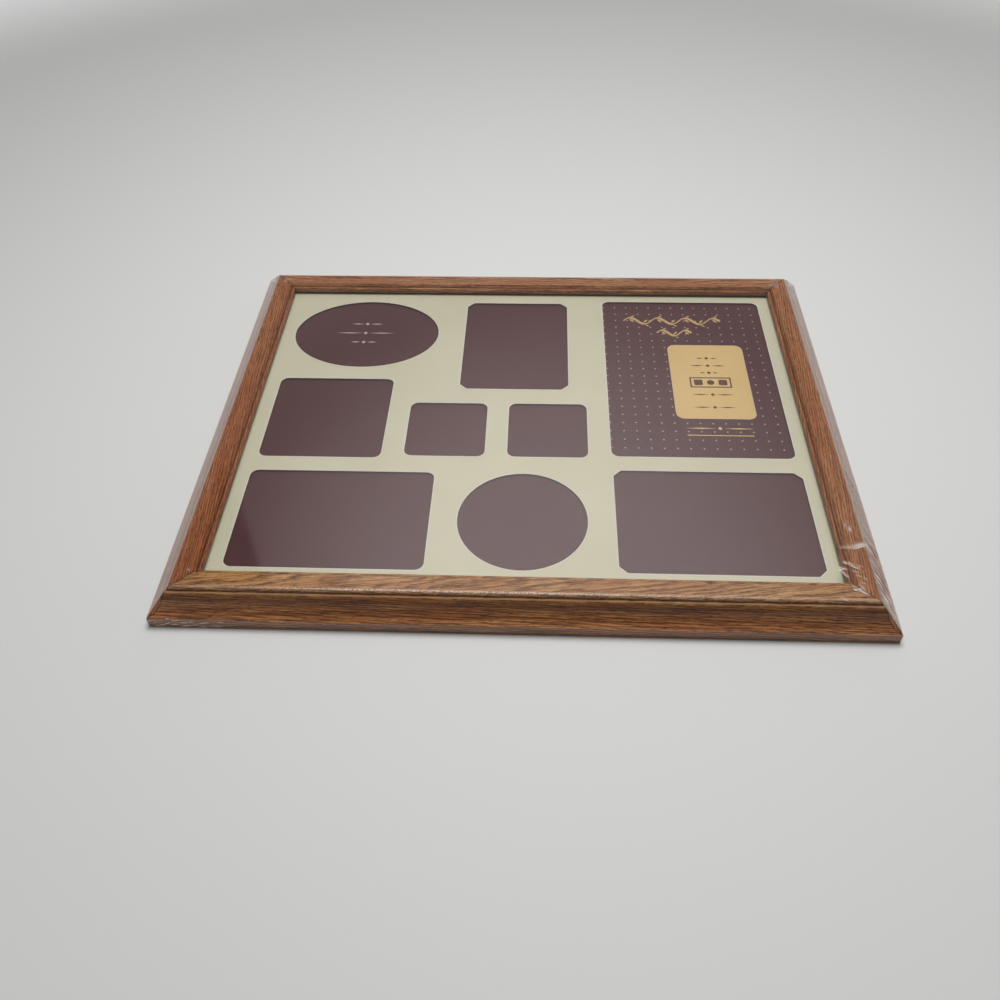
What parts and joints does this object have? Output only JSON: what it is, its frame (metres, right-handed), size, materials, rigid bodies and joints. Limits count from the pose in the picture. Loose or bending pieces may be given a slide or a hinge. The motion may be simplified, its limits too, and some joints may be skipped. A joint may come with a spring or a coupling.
{
  "type": "collage picture frame",
  "caption": "Mitred oak frame lying on its back, with glass over a card mat of shaped photo windows, bendable steel tabs and sawtooth hangers behind, and clear shrink film at its sides.",
  "frame": {"origin": "on the surface that the frame lies on, under the middle of its outline", "axes": "+X to the right of the picture, +Y to its top, +Z out of its front"},
  "size_m": [0.3944, 0.3182, 0.0202],
  "materials": {
    "oak": "stained and lacquered, semi-gloss",
    "nail_steel": "bright",
    "glass": "clear float glass",
    "mat_card": "smooth matt card",
    "print_paper": "printed paper, satin",
    "grey_card": "rough card",
    "hardboard": "smooth hardboard, matt",
    "tab_steel": "black oxide",
    "hanger_steel": "yellow zinc plated",
    "rivet_alloy": "satin",
    "film": "clear gloss film"
  },
  "bodies": {
    "frame": {"rail_top": "oak", "rail_bottom": "oak", "rail_left": "oak", "rail_right": "oak", "corner_nails": "nail_steel", "glass_pane": "glass", "mat_board": "mat_card", "print_sheet": "print_paper", "filler_pad": "grey_card", "backing_board": "hardboard", "tab_points": "tab_steel", "hanger_wide": "hanger_steel", "hanger_tall": "hanger_steel", "hanger_rivets": "rivet_alloy", "film_top": "film", "film_bottom": "film", "film_left": "film", "film_right": "film"},
    "tab_top_left": {"tab_top_left": "tab_steel"},
    "tab_top_right": {"tab_top_right": "tab_steel"},
    "tab_bottom_left": {"tab_bottom_left": "tab_steel"},
    "tab_bottom_right": {"tab_bottom_right": "tab_steel"},
    "tab_left_lower": {"tab_left_lower": "tab_steel"},
    "tab_left_upper": {"tab_left_upper": "tab_steel"},
    "tab_right_lower": {"tab_right_lower": "tab_steel"},
    "tab_right_upper": {"tab_right_upper": "tab_steel"}
  },
  "joints": [
    {"name": "tab_top_left_bend", "type": "hinge", "parent": "frame", "child": "tab_top_left", "pos_m": [-0.10287, 0.14025, 0.00585], "axis": [1, 0, 0], "range_deg": [0, 90]},
    {"name": "tab_top_right_bend", "type": "hinge", "parent": "frame", "child": "tab_top_right", "pos_m": [0.10287, 0.14025, 0.00585], "axis": [1, 0, 0], "range_deg": [0, 90]},
    {"name": "tab_bottom_left_bend", "type": "hinge", "parent": "frame", "child": "tab_bottom_left", "pos_m": [-0.10287, -0.14025, 0.00585], "axis": [-1, 0, 0], "range_deg": [0, 90]},
    {"name": "tab_bottom_right_bend", "type": "hinge", "parent": "frame", "child": "tab_bottom_right", "pos_m": [0.10287, -0.14025, 0.00585], "axis": [-1, 0, 0], "range_deg": [0, 90]},
    {"name": "tab_left_lower_bend", "type": "hinge", "parent": "frame", "child": "tab_left_lower", "pos_m": [-0.17835, -0.08001, 0.00585], "axis": [0, 1, 0], "range_deg": [0, 90]},
    {"name": "tab_left_upper_bend", "type": "hinge", "parent": "frame", "child": "tab_left_upper", "pos_m": [-0.17835, 0.08001, 0.00585], "axis": [0, 1, 0], "range_deg": [0, 90]},
    {"name": "tab_right_lower_bend", "type": "hinge", "parent": "frame", "child": "tab_right_lower", "pos_m": [0.17835, -0.08001, 0.00585], "axis": [0, -1, 0], "range_deg": [0, 90]},
    {"name": "tab_right_upper_bend", "type": "hinge", "parent": "frame", "child": "tab_right_upper", "pos_m": [0.17835, 0.08001, 0.00585], "axis": [0, -1, 0], "range_deg": [0, 90]}
  ]
}
